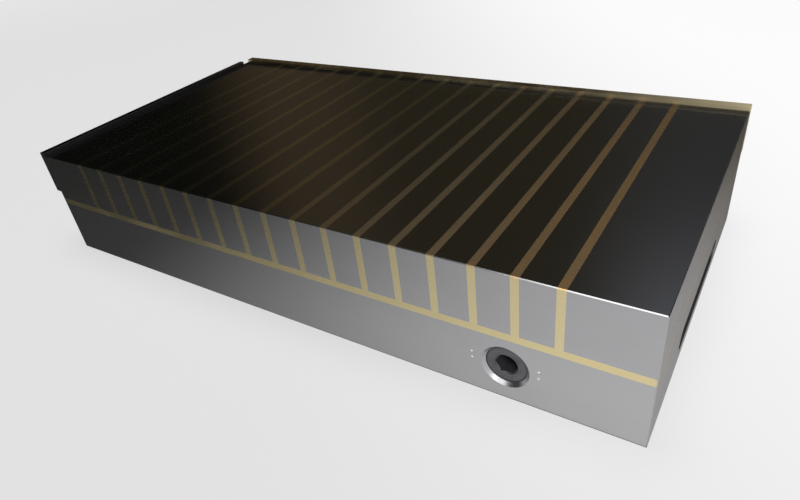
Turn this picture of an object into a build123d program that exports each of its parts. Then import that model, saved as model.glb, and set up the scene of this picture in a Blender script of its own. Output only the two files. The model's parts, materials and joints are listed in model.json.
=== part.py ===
from build123d import *
import math
import os

# Permanent magnetic chuck with a cross-laid pole plate. Lengths are in millimetres, angles in degrees.
# X runs along the chuck, Y from the operator's side to the back, Z up.
# The origin is the middle of the underside. The magnets are drawn in the released position.

# Body
body_length = 400.0
body_width = 200.0
top_plate_height = 32.5
brass_frame_height = 4.0
housing_height = 36.5
edge_break = 0.4

# Poles of the top plate
pole_pitch = 20.0
brass_width = 4.0
end_pole_least_width = 35.0

# Housing and base plate
side_wall = 25.0
cavity_corner_radius = 3.0
base_side_ledge = 10.0
base_end_ledge = 4.0
base_thickness = 6.5
base_clearance = 0.1

# Clamp slots in the two ends of the housing
clamp_slot_length = 92.0
clamp_slot_height = 13.0
clamp_slot_depth = 9.0
clamp_slot_centre_height = 13.5

# Magnet pack and the strips that it runs on
magnet_thickness = 10.0
magnets_per_row = 2
pack_end_plate_thickness = 8.0
pack_rail_thickness = 8.5
pack_end_clearance = 1.0
pack_top_clearance = 0.2
slide_clearance = 0.1
slide_strip_thickness = 1.5
slide_strip_width = 12.0
slide_strip_spacing = 45.0
guide_strip_thickness = 3.4
guide_strip_height = 12.0
strip_end_clearance = 1.0

# Eccentric shaft and its bearing
drive_magnet = 2  # the magnet behind the yoke, counted from the right end of the pack
shaft_height = 19.5
shaft_head_diameter = 20.6
shaft_journal_diameter = 18.0
shaft_pin_diameter = 7.5
shaft_edge_break = 0.4
shaft_face_recess = 1.8
shaft_lip = 6.5
shoulder_clearance = 0.1
running_clearance = 0.05
press_clearance = 0.02
bore_mouth_chamfer = 1.7
bush_outside_diameter = 23.0
bush_relief = 1.0  # room round the bush and the circlip in a part that reaches them
key_socket_width = 10.0
key_socket_depth = 10.0
key_socket_mouth_diameter = 11.7
seal_diameter = 1.7
seal_groove_depth = 1.75
seal_groove_width = 2.4
seal_groove_from_face = 1.2
circlip_thickness = 1.2
circlip_width = 2.6
circlip_groove_depth = 0.5
circlip_mouth = 7.0

# Roller on the eccentric pin, and the yoke that it drives
roller_diameter = 12.0
roller_side_clearance = 0.3
roller_clearance = 0.2
yoke_length = 34.0
yoke_slot_corner_radius = 2.0
yoke_screw_inset = 5.5

# Punched position marks beside the shaft
mark_diameter = 1.4
mark_depth = 0.5
mark_distance = 16.5
mark_spacing = 3.9

# Stops on the left end and along the back
end_stop_thickness = 4.0
end_stop_height = 31.0
end_stop_rise = 1.8
end_stop_shortfall = 5.5
end_stop_screws = 3
end_stop_screw_inset = 25.0
back_stop_thickness = 6.0
back_stop_height = 32.0
back_stop_rise = 2.0
back_stop_bars = (2, 7)  # the bars that hold its screws, counted from each end
stop_corner_radius = 3.0
stop_travel = 8.0
stop_lowest_depth = 1.0
stop_screw_depth = 14.0
stop_face_clearance = 0.1
stop_slot_clearance = 0.2

# Screws of the top plate, from below
top_screw_diameter = 6.0
top_screw_length = 40.0
top_screw_head_diameter = 10.0
top_screw_head_height = 6.0
top_screw_key = 5.0
top_screw_head_depth = 2.0
top_screw_inset = 8.2
top_screw_bar_step = 3  # every third bar is screwed down
bore_to_screw_wall = 3.0

# Screws of the base plate, from below
base_screw_diameter = 4.0
base_screw_length = 12.0
base_screw_head_diameter = 7.0
base_screw_head_height = 4.0
base_screw_key = 3.0
base_screw_head_depth = 0.3
base_screw_end_inset = 24.0
base_screws_per_side = 5

# Screws and washers of the stops
stop_screw_diameter = 5.0
stop_screw_length = 16.0
stop_screw_head_diameter = 8.5
stop_screw_head_height = 5.0
stop_screw_key = 4.0
washer_diameter = 10.0
washer_thickness = 1.0

# Countersunk screws of the magnet pack
pack_screw_diameter = 3.0
pack_screw_length = 14.0
pack_screw_head_diameter = 6.0
pack_screw_plate_step = 2  # every second plate is screwed to the rails

# Clearances that the screws share
head_clearance = 0.3
hole_clearance = 0.25
thread_clearance = 0.05
tapped_run_out = 3.0
key_depth_share = 0.5

# Dowel pins between the housing and the end poles
dowel_diameter = 6.0
dowel_length = 20.0
dowel_end_inset = 8.0
dowel_offset = 70.0

# Levels and pole positions
half_length = body_length / 2
half_width = body_width / 2
frame_top = housing_height + brass_frame_height
face_height = frame_top + top_plate_height
strip_count = 1 + int((body_length - brass_width - 2 * end_pole_least_width) // pole_pitch)
strip_centres = [(i - (strip_count - 1) / 2) * pole_pitch for i in range(strip_count)]
bar_centres = [x + pole_pitch / 2 for x in strip_centres[:-1]]
pole_inner_edge = strip_centres[-1] + brass_width / 2
end_pole_centre = (half_length + pole_inner_edge) / 2

# The pack moves half a pitch: its plates bridge the brass when released and stand under the bars when clamped
pack_travel = pole_pitch / 2
magnet_centres = [x - pack_travel for x in strip_centres]
plate_centres = [x - pack_travel for x in bar_centres]
plate_thickness = pole_pitch - magnet_thickness
pack_left = magnet_centres[0] - magnet_thickness / 2 - pack_end_plate_thickness
pack_right = magnet_centres[-1] + magnet_thickness / 2 + pack_end_plate_thickness
end_plate_centres = [pack_left + pack_end_plate_thickness / 2, pack_right - pack_end_plate_thickness / 2]
cavity_left = pack_left - pack_end_clearance
cavity_right = pack_right + pack_travel + pack_end_clearance
cavity_half_width = half_width - side_wall
strip_left = cavity_left + cavity_corner_radius + strip_end_clearance
strip_right = cavity_right - cavity_corner_radius - strip_end_clearance
pack_half_width = cavity_half_width - guide_strip_thickness - slide_clearance
plate_half_length = pack_half_width - pack_rail_thickness
pack_bottom = base_thickness + slide_strip_thickness + slide_clearance
pack_top = frame_top - pack_top_clearance
pack_middle = (pack_bottom + pack_top) / 2

# The eccentric pin starts on the left of the shaft and swings over the top to the right
eccentricity = pack_travel / 2
yoke_x = magnet_centres[-drive_magnet]
shaft_x = yoke_x + eccentricity
shaft_face = -half_width + shaft_face_recess
bush_front = -half_width + shaft_lip
journal_end = -pack_half_width - roller_side_clearance - roller_clearance
pin_end = -plate_half_length - roller_side_clearance

# The pack is taken to move evenly with the shaft's angle, and the pin moves as a cosine.
# The slot is wider than the roller by the greatest difference between the two.
even_angle = math.asin(2 / math.pi)
pin_lead = eccentricity * (2 * even_angle / math.pi - 1 + math.cos(even_angle))
yoke_slot_width = roller_diameter + 2 * (pin_lead + roller_clearance)
yoke_slot_bottom = shaft_height - roller_diameter / 2 - roller_clearance

# Stops
stop_screw_level = face_height - stop_screw_depth
end_stop_back = half_width - end_stop_shortfall


def block(x_range, y_range, z_range):
    """Return the box that fills three ranges."""
    ranges = (x_range, y_range, z_range)
    centre = [(low + high) / 2 for low, high in ranges]
    return Pos(*centre) * Box(*[high - low for low, high in ranges])


def rounded_block(x_range, y_range, z_range, radius):
    """Return a box with rounded upright corners."""
    outline = RectangleRounded(x_range[1] - x_range[0], y_range[1] - y_range[0], radius)
    corner = Pos(sum(x_range) / 2, sum(y_range) / 2, z_range[0])
    return corner * extrude(outline, z_range[1] - z_range[0])


def rod(radius, length):
    """Return a cylinder that stands on the origin."""
    return Pos(0, 0, length / 2) * Cylinder(radius, length)


def turned(points):
    """Return the solid that a half section of (radius, height) points sweeps round the Z axis."""
    return revolve(Plane.XZ * make_face(Polyline(*points, close=True)), Axis.Z)


def group(shapes):
    """Return separate solids as one shape."""
    return Compound([solid for shape in shapes for solid in shape.solids()])


def inward(x, y, z):
    """Return the place on the front face where +Z of a tool points into the chuck."""
    return Pos(x, y, z) * Rot(-90, 0, 0)


def evenly(first, last, count):
    """Return evenly spaced values from first to last."""
    return [first + (last - first) * i / (count - 1) for i in range(count)]


def body_layer(bottom, top, broken_face=None):
    """Return one full layer of the body, its corners and the chosen outer face broken."""
    layer = block((-half_length, half_length), (-half_width, half_width), (bottom, top))
    edges = list(layer.edges().filter_by(Axis.Z))
    if broken_face is not None:
        edges += layer.faces().sort_by(Axis.Z)[broken_face].edges()
    return chamfer(edges, edge_break)


def cavity(bottom, top):
    """Return the space that the magnet pack slides in."""
    y_range = (-cavity_half_width, cavity_half_width)
    return rounded_block((cavity_left, cavity_right), y_range, (bottom, top), cavity_corner_radius)


# Where the fasteners are


def top_screw_places():
    """Return x and y of the top plate's screws: the corners and every so many bars, clear of the shaft's bore."""
    y = half_width - top_screw_inset
    nearest = bush_outside_diameter / 2 + top_screw_head_diameter / 2 + head_clearance + bore_to_screw_wall
    rows = bar_centres[top_screw_bar_step - 1::top_screw_bar_step]
    front = [x for x in rows if abs(x - shaft_x) > nearest]
    corners = [(side * end_pole_centre, end * y) for side in (-1, 1) for end in (-1, 1)]
    return corners + [(x, -y) for x in front] + [(x, y) for x in rows]


def base_screw_places():
    """Return x and y of the base plate's screws."""
    y = cavity_half_width + base_side_ledge / 2
    first = cavity_left - base_end_ledge + base_screw_end_inset
    last = cavity_right + base_end_ledge - base_screw_end_inset
    return [(x, side * y) for side in (-1, 1) for x in evenly(first, last, base_screws_per_side)]


def dowel_places():
    """Return x and y of the two dowel pins."""
    x = half_length - dowel_end_inset
    return [(-x, -dowel_offset), (x, dowel_offset)]


def end_stop_screw_places():
    """Return y of the end stop's screws."""
    return evenly(-half_width + end_stop_screw_inset, end_stop_back - end_stop_screw_inset, end_stop_screws)


def back_stop_screw_places():
    """Return x of the back stop's screws."""
    chosen = [bar_centres[bar - 1] for bar in back_stop_bars]
    return chosen + [bar_centres[-bar] for bar in back_stop_bars]


def rail_screw_places():
    """Return x of the screws in the pack's rails."""
    return end_plate_centres + plate_centres[::pack_screw_plate_step]


def front_rail_screw_places():
    """Return x of the screws in the front rails, which the yoke interrupts."""
    nearest = (yoke_length + pack_screw_head_diameter) / 2
    return [x for x in rail_screw_places() if abs(x - yoke_x) > nearest]


def yoke_screw_places():
    """Return x and z of the yoke's screws."""
    reach = yoke_length / 2 - yoke_screw_inset
    levels = (pack_bottom + yoke_screw_inset, pack_top - yoke_screw_inset)
    return [(yoke_x + side * reach, z) for side in (-1, 1) for z in levels]


# Fasteners


def cap_screw(diameter, length, head_diameter, head_height, key):
    """Return a socket cap screw: head below the origin, thread along +Z."""
    radius = diameter / 2
    head_radius = head_diameter / 2
    rim = head_height / 12
    tip = radius / 4
    screw = turned([
        (0, -head_height),
        (head_radius - rim, -head_height),
        (head_radius, rim - head_height),
        (head_radius, 0),
        (radius, 0),
        (radius, length - tip),
        (radius - tip, length),
        (0, length),
    ])
    hexagon = RegularPolygon(key / 2, 6, major_radius=False)
    return screw - Pos(0, 0, -head_height) * extrude(hexagon, head_height * key_depth_share)


def flat_screw(clearance, extra_length):
    """Return a countersunk screw with its head at the origin, or the hole that takes it."""
    radius = pack_screw_diameter / 2 + clearance
    head_radius = pack_screw_head_diameter / 2 + clearance
    length = pack_screw_length + extra_length
    return turned([(0, 0), (head_radius, 0), (radius, head_radius - radius), (radius, length), (0, length)])


def tapped_hole(diameter, depth):
    """Return the drill for a tapped hole that starts at the origin."""
    return rod(diameter / 2 + thread_clearance, depth)


def top_screws():
    """Return the screws that pull the top plate onto the housing."""
    seat = top_screw_head_depth + top_screw_head_height
    screw = cap_screw(
        top_screw_diameter, top_screw_length, top_screw_head_diameter, top_screw_head_height, top_screw_key
    )
    return group([Pos(x, y, seat) * screw for x, y in top_screw_places()])


def base_screws():
    """Return the screws of the base plate."""
    seat = base_screw_head_depth + base_screw_head_height
    screw = cap_screw(
        base_screw_diameter, base_screw_length, base_screw_head_diameter, base_screw_head_height, base_screw_key
    )
    return group([Pos(x, y, seat) * screw for x, y in base_screw_places()])


def stop_seat(thickness):
    """Return how far a stop's outer washer face stands off the body."""
    return 2 * stop_face_clearance + thickness + washer_thickness


def stop_screw_frames(washers):
    """Return the places of the stops' screws, or of their washers' inner faces, thread pointing into the body."""
    back_off = washer_thickness if washers else 0
    end_x = -half_length - stop_seat(end_stop_thickness) + back_off
    back_y = half_width + stop_seat(back_stop_thickness) - back_off
    ends = [Pos(end_x, y, stop_screw_level) * Rot(0, 90, 0) for y in end_stop_screw_places()]
    backs = [Pos(x, back_y, stop_screw_level) * Rot(90, 0, 0) for x in back_stop_screw_places()]
    return ends + backs


def stop_screws():
    """Return the screws of both stops."""
    screw = cap_screw(
        stop_screw_diameter, stop_screw_length, stop_screw_head_diameter, stop_screw_head_height, stop_screw_key
    )
    return group([frame * screw for frame in stop_screw_frames(washers=False)])


def stop_washers():
    """Return the washers between the screw heads and the stops."""
    ring = rod(washer_diameter / 2, washer_thickness)
    ring -= rod(stop_screw_diameter / 2 + hole_clearance, washer_thickness)
    washer = Pos(0, 0, -washer_thickness) * ring
    return group([frame * washer for frame in stop_screw_frames(washers=True)])


def dowel_pins():
    """Return the dowel pins, half in the housing and half in the end poles."""
    middle = (housing_height + frame_top) / 2
    return group([Pos(x, y, middle) * Cylinder(dowel_diameter / 2, dowel_length) for x, y in dowel_places()])


def dowel_drills():
    """Return the reamed holes for the dowel pins."""
    middle = (housing_height + frame_top) / 2
    radius = dowel_diameter / 2 + press_clearance
    return [Pos(x, y, middle) * Cylinder(radius, dowel_length) for x, y in dowel_places()]


# Top plate


def top_plate_drills():
    """Return every hole in the top plate."""
    end = top_screw_head_depth + top_screw_head_height + top_screw_length
    depth = end - frame_top + tapped_run_out
    drills = [Pos(x, y, frame_top) * tapped_hole(top_screw_diameter, depth) for x, y in top_screw_places()]
    drill = tapped_hole(stop_screw_diameter, stop_screw_length + tapped_run_out)
    drills += [frame * drill for frame in stop_screw_frames(washers=False)]
    return drills + dowel_drills()


def top_plate_slices():
    """Return the poles and brass strips of the top plate by name, cut from one ground block."""
    plate = body_layer(frame_top, face_height, broken_face=-1)
    for drill in top_plate_drills():
        plate -= drill
    edges = {
        "end_pole_left": (-half_length, -pole_inner_edge),
        "end_pole_right": (pole_inner_edge, half_length),
    }
    for number, x in enumerate(bar_centres, 1):
        half_bar = (pole_pitch - brass_width) / 2
        edges[f"pole_bar_{number:02}"] = (x - half_bar, x + half_bar)
    for number, x in enumerate(strip_centres, 1):
        edges[f"brass_strip_{number:02}"] = (x - brass_width / 2, x + brass_width / 2)
    depth = (-body_width, body_width)
    height = (0, 2 * face_height)
    return {name: plate & block(x_range, depth, height) for name, x_range in edges.items()}


def brass_frame():
    """Return the brass frame that keeps the poles off the housing."""
    frame = body_layer(housing_height, frame_top) - cavity(housing_height, frame_top)
    for x, y in top_screw_places():
        frame -= Pos(x, y, housing_height) * rod(top_screw_diameter / 2 + hole_clearance, brass_frame_height)
    for drill in dowel_drills():
        frame -= drill
    return frame - bearing_room()


# Housing


def bearing_room():
    """Return the room that the bush and the circlip need in the parts above and below the shaft."""
    room = rod(bush_outside_diameter / 2 + bush_relief, journal_end - bush_front)
    return inward(shaft_x, bush_front, shaft_height) * room


def shaft_bore():
    """Return the stepped bore for the eccentric shaft and its bush, from the front face inwards."""
    lip_radius = shaft_head_diameter / 2 + running_clearance
    bush_radius = bush_outside_diameter / 2 + press_clearance
    return inward(shaft_x, -half_width, shaft_height) * turned([
        (0, 0),
        (lip_radius + bore_mouth_chamfer, 0),
        (lip_radius, bore_mouth_chamfer),
        (lip_radius, shaft_lip),
        (bush_radius, shaft_lip),
        (bush_radius, side_wall),
        (0, side_wall),
    ])


def clamp_slot(x):
    """Return the cutter for a clamp slot that starts at x and runs along +X."""
    mouth = Plane.YZ * SlotOverall(clamp_slot_length, clamp_slot_height)
    return Pos(x, 0, clamp_slot_centre_height) * extrude(mouth, clamp_slot_depth)


def position_marks():
    """Return the punched marks beside the shaft, where the key points when the chuck is released or clamped."""
    dimple = turned([(0, 0), (mark_diameter / 2, 0), (0, mark_depth)])
    places = [(side * mark_distance, row * mark_spacing) for side in (-1, 1) for row in (0, 1)]
    return [inward(shaft_x + x, -half_width, shaft_height + z) * dimple for x, z in places]


def base_recess(clearance):
    """Return the space of the base plate, or the plate itself."""
    x_range = (cavity_left - base_end_ledge - clearance, cavity_right + base_end_ledge + clearance)
    reach = cavity_half_width + base_side_ledge + clearance
    return rounded_block(x_range, (-reach, reach), (0, base_thickness), cavity_corner_radius + base_end_ledge)


def housing_screw_drills():
    """Return the counterbored holes of the top screws and the tapped holes of the base screws."""
    seat = top_screw_head_depth + top_screw_head_height
    head = rod(top_screw_head_diameter / 2 + head_clearance, seat)
    top_hole = head + rod(top_screw_diameter / 2 + hole_clearance, housing_height)
    base_depth = base_screw_head_depth + base_screw_head_height + base_screw_length - base_thickness
    base_hole = tapped_hole(base_screw_diameter, base_depth + tapped_run_out)
    drills = [Pos(x, y, 0) * top_hole for x, y in top_screw_places()]
    return drills + [Pos(x, y, base_thickness) * base_hole for x, y in base_screw_places()]


def housing():
    """Return the housing: a ground block hollowed for the magnet pack."""
    body = body_layer(0, housing_height, broken_face=0)
    body -= cavity(0, housing_height)
    body -= base_recess(base_clearance)
    body -= shaft_bore()
    body -= clamp_slot(-half_length)
    body -= clamp_slot(half_length - clamp_slot_depth)
    for drill in housing_screw_drills() + dowel_drills() + position_marks():
        body -= drill
    return body


def base_plate():
    """Return the plate that closes the housing from below."""
    plate = base_recess(0)
    seat = base_screw_head_depth + base_screw_head_height
    hole = rod(base_screw_head_diameter / 2 + head_clearance, seat)
    hole += rod(base_screw_diameter / 2 + hole_clearance, base_thickness)
    for x, y in base_screw_places():
        plate -= Pos(x, y, 0) * hole
    return plate - bearing_room()


def slide_strips():
    """Return the brass strips on the base plate that the pack slides on."""
    x_range = (strip_left, strip_right)
    z_range = (base_thickness, base_thickness + slide_strip_thickness)
    half = slide_strip_width / 2
    rows = (-slide_strip_spacing, 0, slide_strip_spacing)
    return group([block(x_range, (y - half, y + half), z_range) for y in rows])


def guide_strips():
    """Return the brass strips on the side walls that keep the pack in line."""
    circlip_radius = shaft_journal_diameter / 2 - circlip_groove_depth + circlip_width
    gap = circlip_radius + strip_end_clearance
    z_range = (pack_middle - guide_strip_height / 2, pack_middle + guide_strip_height / 2)
    front = (-cavity_half_width, guide_strip_thickness - cavity_half_width)
    back = (cavity_half_width - guide_strip_thickness, cavity_half_width)
    return group([
        block((strip_left, shaft_x - gap), front, z_range),
        block((shaft_x + gap, strip_right), front, z_range),
        block((strip_left, strip_right), back, z_range),
    ])


# Eccentric drive


def shaft_bush():
    """Return the bronze bush pressed into the side wall from inside."""
    length = side_wall - shaft_lip
    bore = shaft_journal_diameter / 2 + running_clearance
    tube = rod(bush_outside_diameter / 2, length) - rod(bore, length)
    return inward(shaft_x, bush_front, shaft_height) * tube


def cam_shaft():
    """Return the shaft: socketed head, seal groove, journal, circlip groove and eccentric pin."""
    head = shaft_head_diameter / 2
    journal = shaft_journal_diameter / 2
    groove = seal_groove_from_face
    shoulder = bush_front - shoulder_clearance - shaft_face
    clip = shoulder_clearance - cavity_half_width - shaft_face
    end = journal_end - shaft_face
    shaft = turned([
        (0, 0),
        (head - shaft_edge_break, 0),
        (head, shaft_edge_break),
        (head, groove),
        (head - seal_groove_depth, groove),
        (head - seal_groove_depth, groove + seal_groove_width),
        (head, groove + seal_groove_width),
        (head, shoulder),
        (journal, shoulder),
        (journal, clip),
        (journal - circlip_groove_depth, clip),
        (journal - circlip_groove_depth, clip + circlip_thickness),
        (journal, clip + circlip_thickness),
        (journal, end),
        (0, end),
    ])
    shaft += Pos(-eccentricity, 0, end) * rod(shaft_pin_diameter / 2, pin_end - journal_end)
    mouth = (key_socket_mouth_diameter - key_socket_width) / 2
    mouth_radius = key_socket_mouth_diameter / 2
    shaft -= turned([(0, 0), (mouth_radius, 0), (mouth_radius - mouth, mouth), (0, mouth)])
    shaft -= extrude(RegularPolygon(key_socket_width / 2, 6, major_radius=False), key_socket_depth)
    return inward(shaft_x, shaft_face, shaft_height) * shaft


def shaft_seal():
    """Return the O-ring in the head's groove, as squeezed by the bore."""
    centre_radius = shaft_head_diameter / 2 - seal_groove_depth + seal_diameter / 2 + press_clearance
    y = shaft_face + seal_groove_from_face + seal_groove_width / 2
    return inward(shaft_x, y, shaft_height) * Torus(centre_radius, seal_diameter / 2)


def shaft_circlip():
    """Return the open ring that holds the shaft against the bush's inner end."""
    inner = shaft_journal_diameter / 2 - circlip_groove_depth + press_clearance
    outer = inner + circlip_width
    ring = rod(outer, circlip_thickness) - rod(inner, circlip_thickness)
    ring -= block((0, 2 * outer), (-circlip_mouth / 2, circlip_mouth / 2), (0, circlip_thickness))
    y = shoulder_clearance - cavity_half_width
    return inward(shaft_x, y, shaft_height) * ring


def cam_roller():
    """Return the hardened roller on the eccentric pin."""
    start = journal_end + roller_side_clearance
    length = pin_end - roller_clearance - start
    ring = rod(roller_diameter / 2, length) - rod(shaft_pin_diameter / 2 + running_clearance, length)
    return inward(yoke_x, start, shaft_height) * ring


# Magnet pack


def pack_plate(x, thickness, drills):
    """Return one steel plate of the pack with the tapped holes that fall in it."""
    x_range = (x - thickness / 2, x + thickness / 2)
    plate = block(x_range, (-plate_half_length, plate_half_length), (pack_bottom, pack_top))
    for drill_x, drill in drills:
        if abs(drill_x - x) < thickness / 2:
            plate -= drill
    return plate


def pack_screw_frames():
    """Return x and place of each pack screw, thread pointing into the plates."""
    y = pack_half_width
    front = [(x, Pos(x, -y, pack_middle) * Rot(-90, 0, 0)) for x in front_rail_screw_places()]
    yoke = [(x, Pos(x, -y, z) * Rot(-90, 0, 0)) for x, z in yoke_screw_places()]
    back = [(x, Pos(x, y, pack_middle) * Rot(90, 0, 0)) for x in rail_screw_places()]
    return front + yoke + back


def pack_screw_drills():
    """Return x and cutter of each pack screw's hole."""
    drill = flat_screw(thread_clearance, tapped_run_out)
    return [(x, frame * drill) for x, frame in pack_screw_frames()]


def pack_pole_plates():
    """Return the steel plates that carry the flux up to the bars."""
    drills = pack_screw_drills()
    return group([pack_plate(x, plate_thickness, drills) for x in plate_centres])


def pack_end_plates():
    """Return the plates that close the pack's two ends."""
    drills = pack_screw_drills()
    return group([pack_plate(x, pack_end_plate_thickness, drills) for x in end_plate_centres])


def pack_magnets():
    """Return the magnets, glued in rows between the plates."""
    ends = evenly(-plate_half_length, plate_half_length, magnets_per_row + 1)
    half = magnet_thickness / 2
    z_range = (pack_bottom, pack_top)
    return group([
        block((x - half, x + half), y_range, z_range)
        for x in magnet_centres
        for y_range in zip(ends[:-1], ends[1:])
    ])


def pack_rail(x_range, side):
    """Return one brass rail along the pack's front or back."""
    y_range = sorted((side * plate_half_length, side * pack_half_width))
    rail = block(x_range, y_range, (pack_bottom, pack_top))
    for x, drill in pack_screw_drills():
        if x_range[0] < x < x_range[1]:
            rail -= drill
    return rail


def pack_front_rails():
    """Return the front rails, one on each side of the yoke."""
    left = (pack_left, yoke_x - yoke_length / 2)
    right = (yoke_x + yoke_length / 2, pack_right)
    return group([pack_rail(left, -1), pack_rail(right, -1)])


def pack_rear_rail():
    """Return the rail along the pack's back."""
    return pack_rail((pack_left, pack_right), 1)


def pack_yoke():
    """Return the steel yoke. Its slot is open at the top, and its floor stops the roller at both ends of the turn."""
    x_range = (yoke_x - yoke_length / 2, yoke_x + yoke_length / 2)
    yoke = pack_rail(x_range, -1)
    slot_height = 2 * (pack_top - yoke_slot_bottom)
    outline = RectangleRounded(yoke_slot_width, slot_height, yoke_slot_corner_radius)
    slot = Plane.XZ * extrude(outline, pack_rail_thickness)
    return yoke - Pos(yoke_x, -plate_half_length, yoke_slot_bottom + slot_height / 2) * slot


def pack_screws():
    """Return the countersunk screws of the rails and the yoke."""
    return group([frame * flat_screw(0, 0) for _, frame in pack_screw_frames()])


# Stops


def stop_slot(rise):
    """Return the cutter for an upright slot round a stop's screw, drilled along Z, with its screw at the origin."""
    down = rise + stop_lowest_depth
    up = stop_travel - down
    width = stop_screw_diameter + 2 * stop_slot_clearance
    outline = SlotOverall(stop_travel + width, width, rotation=90)
    return Pos(0, (down - up) / 2, 0) * extrude(outline, body_width, both=True)


def stop_plate(length, height, thickness):
    """Return a stop's plate, centred and facing Z, with its two lower corners rounded."""
    plate = Box(length, height, thickness)
    lower = plate.edges().filter_by(Axis.Z).sort_by(Axis.Y)[:2]
    return fillet(lower, stop_corner_radius)


def end_stop():
    """Return the stop plate on the left end, flush with the front and short of the back."""
    length = end_stop_back + half_width
    x = -half_length - stop_face_clearance - end_stop_thickness / 2
    z = face_height + end_stop_rise - end_stop_height / 2
    plate = Pos(x, (end_stop_back - half_width) / 2, z) * (
        Plane.YZ * stop_plate(length, end_stop_height, end_stop_thickness)
    )
    for y in end_stop_screw_places():
        plate -= Pos(x, y, stop_screw_level) * (Plane.YZ * stop_slot(end_stop_rise))
    return plate


def back_stop():
    """Return the stop rail along the whole back."""
    y = half_width + stop_face_clearance + back_stop_thickness / 2
    z = face_height + back_stop_rise - back_stop_height / 2
    plate = Pos(0, y, z) * (Plane.XZ * stop_plate(body_length, back_stop_height, back_stop_thickness))
    for x in back_stop_screw_places():
        plate -= Pos(x, y, stop_screw_level) * (Plane.XZ * stop_slot(back_stop_rise))
    return plate


parts = {
    **top_plate_slices(),
    "brass_frame": brass_frame(),
    "housing": housing(),
    "base_plate": base_plate(),
    "slide_strips": slide_strips(),
    "guide_strips": guide_strips(),
    "top_screws": top_screws(),
    "base_screws": base_screws(),
    "dowel_pins": dowel_pins(),
    "stop_screws": stop_screws(),
    "stop_washers": stop_washers(),
    "shaft_bush": shaft_bush(),
    "cam_shaft": cam_shaft(),
    "shaft_seal": shaft_seal(),
    "shaft_circlip": shaft_circlip(),
    "cam_roller": cam_roller(),
    "pack_pole_plates": pack_pole_plates(),
    "pack_end_plates": pack_end_plates(),
    "pack_magnets": pack_magnets(),
    "pack_front_rails": pack_front_rails(),
    "pack_rear_rail": pack_rear_rail(),
    "pack_yoke": pack_yoke(),
    "pack_screws": pack_screws(),
    "end_stop": end_stop(),
    "back_stop": back_stop(),
}

os.makedirs("parts", exist_ok=True)
for name, shape in parts.items():
    export_step(shape, f"parts/{name}.step")
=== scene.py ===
import json
import math

import bpy
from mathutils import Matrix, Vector


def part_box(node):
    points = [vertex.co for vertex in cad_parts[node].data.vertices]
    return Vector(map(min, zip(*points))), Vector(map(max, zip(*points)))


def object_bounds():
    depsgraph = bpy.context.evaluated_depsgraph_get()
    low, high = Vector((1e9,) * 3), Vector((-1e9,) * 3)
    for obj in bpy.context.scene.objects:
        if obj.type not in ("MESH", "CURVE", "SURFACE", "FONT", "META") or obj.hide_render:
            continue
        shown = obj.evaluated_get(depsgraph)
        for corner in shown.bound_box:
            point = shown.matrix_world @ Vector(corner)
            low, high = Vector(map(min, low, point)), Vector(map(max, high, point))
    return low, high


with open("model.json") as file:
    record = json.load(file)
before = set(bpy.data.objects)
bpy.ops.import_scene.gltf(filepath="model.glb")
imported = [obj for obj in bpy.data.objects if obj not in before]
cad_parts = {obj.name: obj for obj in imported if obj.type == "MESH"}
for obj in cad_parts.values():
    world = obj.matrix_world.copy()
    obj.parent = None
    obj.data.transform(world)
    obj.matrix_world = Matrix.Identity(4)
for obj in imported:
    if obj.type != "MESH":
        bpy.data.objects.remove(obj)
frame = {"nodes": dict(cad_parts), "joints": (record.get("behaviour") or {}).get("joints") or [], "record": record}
cad_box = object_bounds()
nodes = frame["nodes"]
record = frame["record"]

# Lengths are in metres, angles in degrees, colours are linear.
# X runs along the chuck, Y from the key side to the back stop, Z up.

# Camera, at the photograph's viewing angle
CAMERA_PLACE = (0.2220, -0.2890, 0.2279)
CAMERA_TILT = 55.998
CAMERA_LEAN = 6.186
CAMERA_HEADING = 31.864
CAMERA_NEAR = 0.01
CAMERA_FAR = 100.0
LENS_MM = 27.92
FILM_WIDTH_MM = 36.0

# Places on the chuck that the finishes and the stage refer to
GROUND = cad_box[0].z
HOUSING_LOW, HOUSING_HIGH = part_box("housing")
SHAFT_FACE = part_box("cam_shaft")[0].y
SHAFT_AXIS = next(joint for joint in frame["joints"] if joint["name"] == "key_turn")["pos_m"]
SOCKET_RADIUS = 0.0062  # the key socket and its bevel lie within this of the shaft's axis
SOCKET_MOUTH = 0.0008  # the bevel ends this far inside the shaft's face
SLOT_REACH = 0.0095  # a clamp slot goes less far than this into the end face
SLOT_MARGIN = 0.03  # and stays farther than this from the front and the back
MARK_DISTANCE = 0.0165  # the punched marks lie this far to the left and right of the shaft's axis
MARK_REACH = 0.0012  # half their width and their depth are less than this
SKIN = 0.00003  # depth below a face where its own finish ends
FLAT_ENOUGH = 0.7  # a face whose normal leans this far along an axis is taken to face that way

# Colours of the metals
GROUND_STEEL = (0.47, 0.47, 0.48)
HOUSING_STEEL = (0.49, 0.49, 0.50)
BARE_BRASS = (0.78, 0.67, 0.39)
FRAME_BRASS = (0.81, 0.69, 0.39)
WORN_BRASS = (0.75, 0.68, 0.52)
# golden brown of tarnishing, partly painted light on the right of the strips
TARNISH_AND_LIGHT_BRASS = (0.64, 0.39, 0.16)
DARK_BRASS = (0.60, 0.50, 0.31)
STOP_BRASS = (0.72, 0.61, 0.38)
DULL_BRASS = (0.56, 0.52, 0.43)
# the clamp slots' walls: painted shade, darker than the steel
SLOT_SHADE_STEEL = (0.115, 0.115, 0.115)
# inside the key socket: painted shade
SOCKET_SHADE = (0.07, 0.07, 0.075)
BEVEL_GREY = (0.11, 0.11, 0.115)
# the punched marks: a lighter steel that paints their glint
PUNCHED_GLINT_STEEL = (0.75, 0.75, 0.75)
BRONZE = (0.62, 0.42, 0.24)
BRIGHT_STEEL = (0.62, 0.62, 0.63)
HARDENED_STEEL = (0.140, 0.138, 0.150)
BLACKENED_STEEL = (0.055, 0.055, 0.060)
MAGNET_GREY = (0.11, 0.11, 0.115)
SEAL_BLACK = (0.02, 0.02, 0.02)

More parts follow.
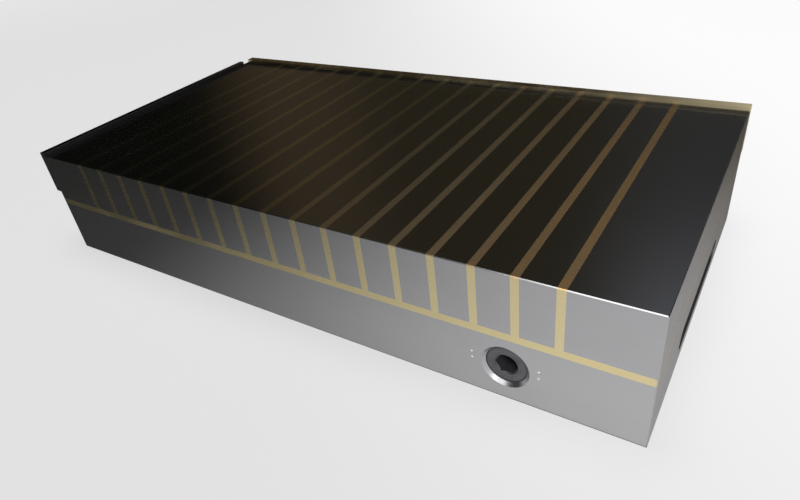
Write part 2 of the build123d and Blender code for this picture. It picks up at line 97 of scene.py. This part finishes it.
# Grain, in waves to the metre: of the grinding along X, Y and Z, and of the turning outwards from the axis
GRAIN_ALONG = (14.0, 2600.0, 2600.0)
GRAIN_ACROSS = (2600.0, 14.0, 2600.0)
WHEEL_PASSES = (3.0, 160.0, 160.0)
TURNED_RINGS = 2400.0

# How deep the grain looks
GROUND_DEPTH = 0.00002
TURNED_DEPTH = 0.00006
PLAIN_DEPTH = 0.00004
MOULDED_DEPTH = 0.00003

# Wear: where handling marks rise out of their noise, where the strips' tarnishing sets in from left to right,
# partly as painted light that grows towards the right on them, and where the rail is rubbed dull
HANDLED_RISE = (0.38, 0.72)
TARNISH_AND_LIGHT_RISE = (-0.01, 0.18)
RUBBED_RISE = (0.08, 0.23)

# Painted shade on the working face beside the two stops, in place of their shadow and dark reflection; it also
# roughens the metal there
STOP_SHADE_REACH = (0.0100, 0.0035)  # it starts this far from a stop, and is full this near to it
STOP_SHADE_DARKENS = 0.88
STOP_SHADE_ROUGHENS = 0.35
STOP_SHADE_ON_BRASS = 0.83  # the strips take this share of it

# Background and floor
PALE_LEFT = (0.745, 0.745, 0.745)
PALE_RIGHT = (1.010, 1.010, 1.010)
PALE_FAR = (0.950, 0.950, 0.950)
PALE_AIR = (0.770, 0.770, 0.770)
FLOOR_PAINT = (0.80, 0.80, 0.80)
CONTACT_SHADE = (0.03, 0.03, 0.03)
FLOOR_REACH = 12.0
# Painted light: the floor is made paler towards the right.
RIGHTWARD_RISE = (-0.12, 0.50)  # the floor grows paler between these values of X plus a share of Y
RIGHTWARD_SLANT = 0.8  # that share of Y
FAR_RISE = (0.7, 2.4)  # the floor takes on its far colour between these distances
PALE_SHARE = 0.80  # what the floor shows of its pale colour; the rest is its light and shadow
SKY_WHITE = (1.0, 1.0, 1.0)
SKY_LIGHT = 0.12

# Dark hood behind, beside and over the chuck, which the working face reflects: sheets seen only in reflections,
# which glow to paint the dark reflections and a light band high on the right
HOOD_X = (-1.6, 3.0)
HOOD_Y = (-1.5, 1.0)
HOOD_Z = (0.08, 2.2)
CEILING_FRONT = -0.4
RIGHT_SIDE_FRONT = -1.2
HOOD_DARK = (0.004, 0.0045, 0.003)
# Its shades from left to right, each with the bearings to the left of straight back where it sets in
HOOD_SHADES = [
    ((57.0, 47.0), (0.058, 0.043, 0.025)),
    ((45.0, 32.0), (0.031, 0.026, 0.015)),
    ((12.0, -4.0), (0.042, 0.042, 0.040)),
    ((-12.0, -35.0), (0.010, 0.010, 0.009)),
]
# Painted reflection: a light band high on the right of the hood
HOOD_HIGH = (0.30, 0.31, 0.35)
HIGH_BEARING = (12.0, -12.0)
HIGH_FROM = (0.55, 1.40)

# Dark cards in front and to the right, which the ground sides and the rail reflect: sheets seen only in
# reflections, which glow to paint darker reflections, warm ones to the right
CARD_SHADE = (0.02, 0.02, 0.018)
RIGHT_CARD_SHADE = (0.075, 0.058, 0.040)
CARD_GAP = 0.0001
FLOOR_CARDS_FRONT = -2.0
FRONT_CARD_X = (-2.0, 0.8)
FAR_CARD_X = (-2.0, 0.0)
RIGHT_CARD_RIGHT = 1.2
RIGHT_CARD_BACK = 1.0
SCREEN_X = (-3.2, 0.9)
SCREEN_Y = -1.6
SCREEN_Z = (0.0, 2.2)
# Their shade, least and greatest cover, the axis along which they fade, and where the fade starts and ends
CARD_FADES = {
    "card_front": (CARD_SHADE, (0.0, 0.94), 0, (0.20, -0.18)),
    "card_right": (RIGHT_CARD_SHADE, (0.44, 0.965), 1, (-0.16, 0.26)),
    "card_far": (CARD_SHADE, (0.0, 0.60), 0, (-0.12, -0.36)),
    "screen": (CARD_SHADE, (0.20, 0.97), 0, (0.25, -1.10)),
    "canopy": (CARD_SHADE, (0.20, 0.97), 0, (0.25, -1.10)),
}

# Lamps: place, aim, size and power
LAMPS = {
    "key": ((0.29, -0.27, 0.24), (0.16, -0.04, 0.04), 0.10, 0.9),
    "edge": ((0.06, -0.66, 0.68), (0.10, 0.0, 0.04), 0.36, 0.9),
    "side": ((0.32, -0.02, 0.27), (0.12, 0.0, 0.07), 0.12, 0.85),
    "strips": ((0.24, -0.18, 0.42), (0.24, -0.18, 0.0), 0.40, 0.85),
    "overhead": ((0.1, 0.1, 3.0), (0.0, 0.0, 0.0), 1.8, 91.0),
}


class Value:
    """A socket that takes part in arithmetic; each operation adds its Math node."""

    def __init__(self, finish, socket):
        self.finish = finish
        self.socket = socket

    def maths(self, operation, *terms):
        return self.finish.node("ShaderNodeMath", {"operation": operation}, dict(enumerate(terms)))

    def __add__(self, other):
        return self.maths("ADD", self, other)

    def __radd__(self, other):
        return self.maths("ADD", other, self)

    def __sub__(self, other):
        return self.maths("SUBTRACT", self, other)

    def __rsub__(self, other):
        return self.maths("SUBTRACT", other, self)

    def __mul__(self, other):
        return self.maths("MULTIPLY", self, other)

    def __rmul__(self, other):
        return self.maths("MULTIPLY", other, self)

    def __pow__(self, other):
        return self.maths("POWER", self, other)

    def __gt__(self, other):
        return self.maths("GREATER_THAN", self, other)

    def __lt__(self, other):
        return self.maths("LESS_THAN", self, other)

    def __abs__(self):
        return self.maths("ABSOLUTE", self)

    def root(self):
        return self.maths("SQRT", self)

    def clipped(self):
        return self.maths("MINIMUM", self.maths("MAXIMUM", self, 0.0), 1.0)

    def or_more(self, other):
        return self.maths("MAXIMUM", self, other)

    def swing(self, amount):
        """Return noise from 0 to 1 as a swing of that whole amount about zero."""
        return (self - 0.5) * amount

    def angle_over(self, other):
        """Return the angle in degrees whose tangent is this value over the other."""
        return self.maths("DEGREES", self.maths("ARCTAN2", self, other))


class Finish:
    """The node tree of one material or of the world."""

    def __init__(self, tree):
        self.tree = tree
        tree.nodes.clear()

    def node(self, kind, settings, sockets, output=0):
        """Add a node, set it up, feed its sockets and return one of its outputs."""
        node = self.tree.nodes.new(kind)
        for name, value in settings.items():
            setattr(node, name, value)
        for name, value in sockets.items():
            if isinstance(value, Value):
                self.tree.links.new(value.socket, node.inputs[name])
            else:
                node.inputs[name].default_value = value
        return Value(self, node.outputs[output])

    def place(self):
        """Return the point on the piece, in the chuck's own frame."""
        return self.node("ShaderNodeTexCoord", {}, {}, "Object")

    def parts_of(self, vector):
        """Return the three parts of a vector."""
        split = self.node("ShaderNodeSeparateXYZ", {}, {0: vector}).socket.node
        return [Value(self, output) for output in split.outputs]

    def xyz(self):
        """Return X, Y and Z of the point on the piece."""
        return self.parts_of(self.place())

    def faces(self, axis):
        """Return 1 where the surface faces along an axis, either way."""
        normal = self.node("ShaderNodeTexCoord", {}, {}, "Normal")
        return abs(self.parts_of(normal)[axis]) > FLAT_ENOUGH

    def stretched(self, scale):
        """Return the place with each axis multiplied by its own scale."""
        return self.node("ShaderNodeVectorMath", {"operation": "MULTIPLY"}, {0: self.place(), 1: scale})

    def noise(self, vector, scale=1.0, detail=3.0, roughness=0.5):
        """Return smooth noise from 0 to 1."""
        sockets = {"Vector": vector, "Scale": scale, "Detail": detail, "Roughness": roughness}
        return self.node("ShaderNodeTexNoise", {}, sockets)

    def spread(self, value, low, high):
        """Return value with low..high taken to 0..1 and softened at both ends."""
        settings = {"interpolation_type": "SMOOTHSTEP"}
        return self.node("ShaderNodeMapRange", settings, {0: value, 1: low, 2: high})

    def mixed(self, share, first, second):
        """Return the colour between first and second."""
        settings = {"data_type": "RGBA"}
        return self.node("ShaderNodeMix", settings, {0: share, 6: first, 7: second}, 2)

    def toned(self, tone, colour, dark, light):
        """Return a colour that goes from its dark to its light shade as the tone goes from 0 to 1."""
        return self.mixed(tone.clipped(), opaque(shaded(colour, dark)), opaque(shaded(colour, light)))

    def darker(self, colour, factor):
        """Return a colour multiplied by a factor."""
        return self.node("ShaderNodeVectorMath", {"operation": "SCALE"}, {0: colour, "Scale": factor})

    def bumped(self, height, strength, depth):
        """Return the normal of a surface with that height."""
        return self.node("ShaderNodeBump", {}, {"Height": height, "Strength": strength, "Distance": depth})

    def glow(self, colour):
        """Return a surface that shows its colour as it is written."""
        return self.node("ShaderNodeEmission", {}, {"Color": colour, "Strength": 1.0})

    def blend(self, share, first, second):
        """Return the surface between first and second."""
        return self.node("ShaderNodeMixShader", {}, {0: share, 1: first, 2: second})

    def surface(self, **sockets):
        """End the tree in a metal or other solid surface."""
        named = {name.replace("_", " "): value for name, value in sockets.items()}
        self.close(self.node("ShaderNodeBsdfPrincipled", {}, named))

    def close(self, shader, kind="ShaderNodeOutputMaterial"):
        """Feed a shader to the tree's output."""
        end = self.tree.nodes.new(kind)
        self.tree.links.new(shader.socket, end.inputs[0])


def opaque(colour):
    """Return a colour with its alpha."""
    return (*colour, 1.0)


def shaded(colour, factor):
    """Return a darker or lighter colour."""
    return tuple(min(1.0, part * factor) for part in colour)


def new_finish(name):
    """Return a new material and its empty tree."""
    material = bpy.data.materials.new(name)
    material.use_nodes = True
    return material, Finish(material.node_tree)


def grinding_grain(finish):
    """Return the lines that a surface grinder leaves: along the chuck, and across it on the two ends."""
    along = finish.noise(finish.stretched(GRAIN_ALONG), detail=4.0, roughness=0.62)
    across = finish.noise(finish.stretched(GRAIN_ACROSS), detail=4.0, roughness=0.62)
    on_end = finish.faces(0)
    return along * (1 - on_end) + across * on_end


def wheel_passes(finish):
    """Return the broad, faint bands of the grinding wheel's passes."""
    return finish.noise(finish.stretched(WHEEL_PASSES), detail=2.0)


def handling_marks(finish, scale):
    """Return soft blotches where the metal has been oiled and handled."""
    return finish.spread(finish.noise(finish.place(), scale=scale, detail=5.0, roughness=0.6), *HANDLED_RISE)


def in_clamp_slot(finish):
    """Return 1 on the walls of the clamp slots, which lie inside the end faces of the housing."""
    x, y, _ = finish.xyz()
    near_end = abs(x) > HOUSING_HIGH.x - SLOT_REACH
    inside_end = abs(x) < HOUSING_HIGH.x - SKIN
    clear_of_sides = abs(y) < HOUSING_HIGH.y - SLOT_MARGIN
    return near_end * inside_end * clear_of_sides


def in_punched_mark(finish):
    """Return 1 inside the marks that are punched beside the shaft."""
    x, y, _ = finish.xyz()
    beside_shaft = abs(abs(x - SHAFT_AXIS[0]) - MARK_DISTANCE) < MARK_REACH
    below_face = (y > HOUSING_LOW.y + SKIN) * (y < HOUSING_LOW.y + MARK_REACH)
    return beside_shaft * below_face


def unshaded_by_stops(finish):
    """Return 1 on open metal, and less on the working face beside the stops, where shade is painted in place of
    their shadow and dark reflection.
    """
    x, y, _ = finish.xyz()
    by_rail = finish.spread(HOUSING_HIGH.y - y, *STOP_SHADE_REACH)
    by_end_stop = finish.spread(x - HOUSING_LOW.x, *STOP_SHADE_REACH)
    return 1.0 - finish.faces(2) * by_rail.or_more(by_end_stop) * STOP_SHADE_DARKENS


def ground_metal(name, colour, roughness, machined=False, shaded_by_stops=False):
    """Return a flat-ground metal: fine straight grain, broad passes and faint handling marks."""
    material, finish = new_finish(name)
    lines = grinding_grain(finish)
    marks = handling_marks(finish, 38.0)
    tone = lines.swing(0.12) + wheel_passes(finish).swing(0.10) - marks * 0.05 + 0.52
    base = finish.toned(tone, colour, 0.80, 1.18)
    dull = roughness + lines.swing(0.10) + marks * 0.02
    if machined:
        slot_walls = in_clamp_slot(finish)
        punched = in_punched_mark(finish)
        # The clamp slots' walls are painted dark as painted shade inside the slots; they are also rougher.
        base = finish.mixed(slot_walls, base, opaque(SLOT_SHADE_STEEL))
        # The punched marks are painted lighter than the steel, as a painted glint; they are also rougher.
        base = finish.mixed(punched, base, opaque(PUNCHED_GLINT_STEEL))
        dull = dull + slot_walls * 0.40 + punched * 0.30
    # Painted shade beside the stops, in place of their shadow and dark reflection: darker and rougher metal there.
    if shaded_by_stops:
        unshaded = unshaded_by_stops(finish)
        base = finish.darker(base, unshaded)
        dull = dull + (1.0 - unshaded) * STOP_SHADE_ROUGHENS
    finish.surface(
        Base_Color=base,
        Metallic=1.0,
        Roughness=dull,
        Normal=finish.bumped(lines, 0.12, GROUND_DEPTH),
    )
    return material


def inlay_brass():
    """Return the brass between the poles: bare on the sides, worn on top, and tarnished towards the right, a
    browner colour that also paints the light growing towards the right.
    """
    material, finish = new_finish("inlay_brass")
    lines = grinding_grain(finish)
    marks = handling_marks(finish, 60.0)
    on_top = finish.faces(2)
    # Painted shade beside the stops, of which the strips take a share.
    unshaded = unshaded_by_stops(finish) * STOP_SHADE_ON_BRASS + (1.0 - STOP_SHADE_ON_BRASS)
    # Tarnishing on top that rises to the right: partly real, partly painted light that grows towards the right.
    tarnish_and_light = on_top * finish.spread(finish.xyz()[0], *TARNISH_AND_LIGHT_RISE) * (0.85 + marks * 0.15)
    tone = (lines.swing(0.16) + 0.5).clipped()
    bare = finish.mixed(on_top, opaque(BARE_BRASS), opaque(WORN_BRASS))
    tinted = finish.darker(finish.mixed(tarnish_and_light, bare, opaque(TARNISH_AND_LIGHT_BRASS)), unshaded)
    dull = 0.27 - on_top * 0.05 + tarnish_and_light * 0.06
    finish.surface(
        Base_Color=finish.mixed(tone, finish.darker(tinted, 0.96), finish.darker(tinted, 1.04)),
        Metallic=1.0 - tarnish_and_light * 0.25,
        Roughness=dull + (1.0 - unshaded) * STOP_SHADE_ROUGHENS + lines.swing(0.06),
    )
    return material


def brass(name, colour, roughness, dull_ends=False, rubbed=False):
    """Return machined brass with grain and tarnished handling marks, with dull ends or rubbed dull at the right.
    """
    material, finish = new_finish(name)
    lines = grinding_grain(finish)
    marks = handling_marks(finish, 45.0)
    base = finish.toned(lines.swing(0.18) - marks * 0.25 + 0.6, colour, 0.78, 1.10)
    if dull_ends:
        base = finish.mixed(finish.faces(0), base, opaque(DULL_BRASS))
    metallic = 1.0 - marks * 0.10
    dull = roughness + lines.swing(0.12) + marks * 0.06
    if rubbed:
        wear = finish.spread(finish.xyz()[0], *RUBBED_RISE)
        metallic = metallic - wear * 0.30
        dull = dull + wear * 0.26
    finish.surface(
        Base_Color=base,
        Metallic=metallic,
        Roughness=dull,
        Normal=finish.bumped(lines, 0.15, GROUND_DEPTH),
    )
    return material


def turned_metal(name, colour, roughness, socket=False):
    """Return turned metal: fine rings round the shaft's axis, and where it has one, a dull bevel and painted shade
    in the socket.
    """
    material, finish = new_finish(name)
    x, y, z = finish.xyz()
    radius = ((x - SHAFT_AXIS[0]) ** 2 + (z - SHAFT_AXIS[2]) ** 2).root()
    sockets = {"W": radius * TURNED_RINGS, "Scale": 1.0, "Detail": 3.0}
    ring = finish.node("ShaderNodeTexNoise", {"noise_dimensions": "1D"}, sockets)
    marks = handling_marks(finish, 220.0)
    base = finish.toned(ring.swing(2.0) - marks * 0.2 + 0.55, colour, 0.55, 1.45)
    dull = roughness + marks * 0.10
    if socket:
        within = radius < SOCKET_RADIUS
        bevel = within * (y > SHAFT_FACE + SKIN)
        inside = within * (y > SHAFT_FACE + SOCKET_MOUTH)
        base = finish.mixed(bevel, base, opaque(BEVEL_GREY))
        # Painted shade inside the key socket, darker than the shaft.
        base = finish.mixed(inside, base, opaque(SOCKET_SHADE))
        dull = dull + bevel * 0.35
    finish.surface(
        Base_Color=base,
        Metallic=1.0,
        Roughness=dull,
        Normal=finish.bumped(ring, 0.35, TURNED_DEPTH),
    )
    return material


def grainy_metal(name, colour, roughness, scale, metallic=1.0):
    """Return a metal with an even, fine grain and no direction."""
    material, finish = new_finish(name)
    grain = finish.noise(finish.place(), scale=scale, detail=4.0, roughness=0.6)
    marks = handling_marks(finish, 150.0)
    finish.surface(
        Base_Color=finish.toned(grain.swing(0.9) + marks * 0.25 + 0.4, colour, 0.75, 1.30),
        Metallic=metallic,
        Roughness=roughness + marks * 0.10,
        Normal=finish.bumped(grain, 0.25, PLAIN_DEPTH),
    )
    return material


def rubber(name, colour):
    """Return moulded rubber."""
    material, finish = new_finish(name)
    grain = finish.noise(finish.place(), scale=1800.0)
    finish.surface(
        Base_Color=finish.toned(grain, colour, 0.8, 1.5),
        Roughness=0.55 + grain * 0.15,
        Normal=finish.bumped(grain, 0.2, MOULDED_DEPTH),
    )
    return material


def finishes():
    """Return the material of each of the record's slots."""
    return {
        "pole_steel": ground_metal("pole_steel", GROUND_STEEL, 0.20, shaded_by_stops=True),
        "inlay_brass": inlay_brass(),
        "frame_brass": brass("frame_brass", FRAME_BRASS, 0.36, dull_ends=True),
        "housing_steel": ground_metal("housing_steel", HOUSING_STEEL, 0.30, machined=True),
        "base_steel": ground_metal("base_steel", HOUSING_STEEL, 0.36),
        "slide_brass": brass("slide_brass", DARK_BRASS, 0.38),
        "screw_steel": grainy_metal("screw_steel", BLACKENED_STEEL, 0.42, 1500.0),
        "bright_steel": grainy_metal("bright_steel", BRIGHT_STEEL, 0.28, 1200.0),
        "bearing_bronze": turned_metal("bearing_bronze", BRONZE, 0.34),
        "shaft_steel": turned_metal("shaft_steel", HARDENED_STEEL, 0.34, socket=True),
        "seal_rubber": rubber("seal_rubber", SEAL_BLACK),
        "spring_steel": grainy_metal("spring_steel", BLACKENED_STEEL, 0.45, 1500.0),
        "pack_steel": ground_metal("pack_steel", GROUND_STEEL, 0.40),
        "magnet_black": grainy_metal("magnet_black", MAGNET_GREY, 0.6, 900.0, metallic=0.4),
        "stop_steel": ground_metal("stop_steel", GROUND_STEEL, 0.21),
        "stop_brass": brass("stop_brass", STOP_BRASS, 0.24, rubbed=True),
    }


def dress_nodes():
    """Give every CAD node the finish of its slot."""
    by_slot = finishes()
    for subpart in record["subparts"]:
        mesh = nodes[subpart["node"]].data
        mesh.materials.clear()
        mesh.materials.append(by_slot[subpart["material_slot"]])


def level(x_range, y_range, height):
    """Return the corners of a level sheet."""
    (left, right), (front, back) = x_range, y_range
    return [(left, front, height), (right, front, height), (right, back, height), (left, back, height)]


def across(x_range, y, z_range):
    """Return the corners of an upright sheet that stands across the view from the front."""
    (left, right), (low, high) = x_range, z_range
    return [(left, y, low), (right, y, low), (right, y, high), (left, y, high)]


def beside(x, y_range, z_range):
    """Return the corners of an upright sheet that stands to one side."""
    (front, back), (low, high) = y_range, z_range
    return [(x, front, low), (x, back, low), (x, back, high), (x, front, high)]


def flat_sheet(name, corners):
    """Return a four-cornered sheet of the stage."""
    mesh = bpy.data.meshes.new(name)
    mesh.from_pydata(corners, [], [(0, 1, 2, 3)])
    sheet = bpy.data.objects.new(name, mesh)
    bpy.context.scene.collection.objects.link(sheet)
    return sheet


def seen_directly(finish):
    """Return 1 for rays from the camera, and for those that metal and glass throw back."""
    path = finish.node("ShaderNodeLightPath", {}, {}).socket.node
    kinds = ("Is Camera Ray", "Is Glossy Ray", "Is Transmission Ray")
    camera, glossy, transmission = [Value(finish, path.outputs[kind]) for kind in kinds]
    return camera.or_more(glossy).or_more(transmission)


def pale_floor():
    """Make the plain floor: pale, with painted light that makes it a little lighter to the right, painted shade
    under the chuck, and the chuck's soft shadow.
    """
    reach = (-FLOOR_REACH, FLOOR_REACH)
    floor = flat_sheet("floor", level(reach, reach, GROUND))
    material, finish = new_finish("floor")
    x, y, _ = finish.xyz()
    rightward = finish.spread(x + y * RIGHTWARD_SLANT, *RIGHTWARD_RISE)
    near = finish.mixed(rightward, opaque(PALE_LEFT), opaque(PALE_RIGHT))
    distance = (x * x + y * y).root()
    colour = finish.mixed(finish.spread(distance, *FAR_RISE), near, opaque(PALE_FAR))
    under = (abs(x) < HOUSING_HIGH.x) * (abs(y) < HOUSING_HIGH.y)
    colour = finish.mixed(under, colour, opaque(CONTACT_SHADE))
    lit = finish.node("ShaderNodeBsdfDiffuse", {}, {"Color": opaque(FLOOR_PAINT)})
    finish.close(finish.blend(seen_directly(finish) * PALE_SHARE, lit, finish.glow(colour)))
    floor.data.materials.append(material)
    return floor


def only_in_reflections(sheet):
    """Let a card show only in what the metal reflects."""
    sheet.visible_camera = False
    sheet.visible_diffuse = False
    sheet.visible_transmission = False
    sheet.visible_shadow = False
    sheet.visible_volume_scatter = False


def dark_hood():
    """Hang the dark cards behind, beside and over the chuck, which its working face reflects: their glow paints
    its dark reflections and a light band high on the right.
    """
    left, right = HOOD_X
    back = HOOD_Y[1]
    cards = {
        "card_behind": across(HOOD_X, back, HOOD_Z),
        "card_right_side": beside(right, (RIGHT_SIDE_FRONT, back), HOOD_Z),
        "card_left": beside(left, HOOD_Y, HOOD_Z),
        "card_above": level(HOOD_X, (CEILING_FRONT, back), HOOD_Z[1]),
    }
    material, finish = new_finish("dark_card")
    x, y, z = finish.xyz()
    bearing = (0 - x).angle_over(y)
    colour = opaque(HOOD_DARK)
    for bearings, shade in HOOD_SHADES:
        colour = finish.mixed(finish.spread(bearing, *bearings), colour, opaque(shade))
    # A painted light reflection high on the right.
    high_share = finish.spread(bearing, *HIGH_BEARING) * finish.spread(z, *HIGH_FROM)
    finish.close(finish.glow(finish.mixed(high_share, colour, opaque(HOOD_HIGH))))
    for name, corners in cards.items():
        card = flat_sheet(name, corners)
        card.data.materials.append(material)
        only_in_reflections(card)


def graded_card(name, corners, dark, cover, axis, fade):
    """Add a dark card that fades along an axis: a glowing sheet that paints a reflection, which the metal sees and
    the camera doesn't.
    """
    card = flat_sheet(name, corners)
    material, finish = new_finish(name)
    least, greatest = cover
    share = least + finish.spread(finish.xyz()[axis], *fade) * (greatest - least)
    clear = finish.node("ShaderNodeBsdfTransparent", {}, {})
    finish.close(finish.blend(share, clear, finish.glow(opaque(dark))))
    card.data.materials.append(material)
    only_in_reflections(card)


def graded_cards():
    """Add the dark cards on the floor, the screen in front and the canopy that joins it to the hood, which paint
    the reflections on the ground sides and the rail.
    """
    front_face = HOUSING_LOW.y - CARD_GAP
    right_face = HOUSING_HIGH.x + CARD_GAP
    before_chuck = (FLOOR_CARDS_FRONT, front_face)
    cards = {
        "card_front": level(FRONT_CARD_X, before_chuck, GROUND + CARD_GAP),
        "card_right": level((right_face, RIGHT_CARD_RIGHT), (front_face, RIGHT_CARD_BACK), GROUND + CARD_GAP),
        "card_far": level(FAR_CARD_X, before_chuck, GROUND + 2 * CARD_GAP),
        "screen": across(SCREEN_X, SCREEN_Y, SCREEN_Z),
        "canopy": level(SCREEN_X, (SCREEN_Y, CEILING_FRONT), SCREEN_Z[1]),
    }
    for name, corners in cards.items():
        graded_card(name, corners, *CARD_FADES[name])


def pale_world():
    """Make the pale surroundings, and the soft light that they give."""
    world = bpy.data.worlds.new("studio")
    world.use_nodes = True
    bpy.context.scene.world = world
    finish = Finish(world.node_tree)
    light = finish.node("ShaderNodeBackground", {}, {"Color": opaque(SKY_WHITE), "Strength": SKY_LIGHT})
    pale = finish.node("ShaderNodeBackground", {}, {"Color": opaque(PALE_AIR), "Strength": 1.0})
    finish.close(finish.blend(seen_directly(finish), light, pale), "ShaderNodeOutputWorld")


def soft_lamp(name, place, aim, size, power):
    """Add a square area lamp that points at aim."""
    lamp = bpy.data.lights.new(name, "AREA")
    lamp.size = size
    lamp.energy = power
    holder = bpy.data.objects.new(name, lamp)
    holder.location = place
    holder.rotation_euler = (Vector(aim) - Vector(place)).to_track_quat("-Z", "Y").to_euler()
    holder.visible_camera = False
    bpy.context.scene.collection.objects.link(holder)
    return holder


def light_only(lamp, receivers):
    """Keep a lamp's light off everything but the receivers."""
    lit = bpy.data.collections.new(lamp.name + "_lights")
    for thing in receivers:
        lit.objects.link(thing)
    lamp.light_linking.receiver_collection = lit


def add_lamps(floor):
    """Add the lamps, each for the pieces that it is there for."""
    brass_slots = ("inlay_brass", "stop_brass")
    brasses = [part["node"] for part in record["subparts"] if part["material_slot"] in brass_slots]
    receivers = {
        "key": [nodes[name] for name in ("housing", "brass_frame", "cam_shaft")],
        "edge": nodes.values(),
        "side": [nodes["back_stop"]],
        "strips": [nodes[name] for name in brasses],
        "overhead": [floor],
    }
    for name, (place, aim, size, power) in LAMPS.items():
        light_only(soft_lamp(name, place, aim, size, power), receivers[name])


def add_camera():
    """Add the camera."""
    camera = bpy.data.cameras.new("camera")
    camera.sensor_width = FILM_WIDTH_MM
    camera.lens = LENS_MM
    camera.clip_start = CAMERA_NEAR
    camera.clip_end = CAMERA_FAR
    holder = bpy.data.objects.new("camera", camera)
    holder.location = CAMERA_PLACE
    holder.rotation_euler = [math.radians(angle) for angle in (CAMERA_TILT, CAMERA_LEAN, CAMERA_HEADING)]
    bpy.context.scene.collection.objects.link(holder)
    bpy.context.scene.camera = holder


add_camera()
dress_nodes()
floor = pale_floor()
dark_hood()
graded_cards()
pale_world()
add_lamps(floor)
bpy.context.scene.view_settings.view_transform = "Standard"
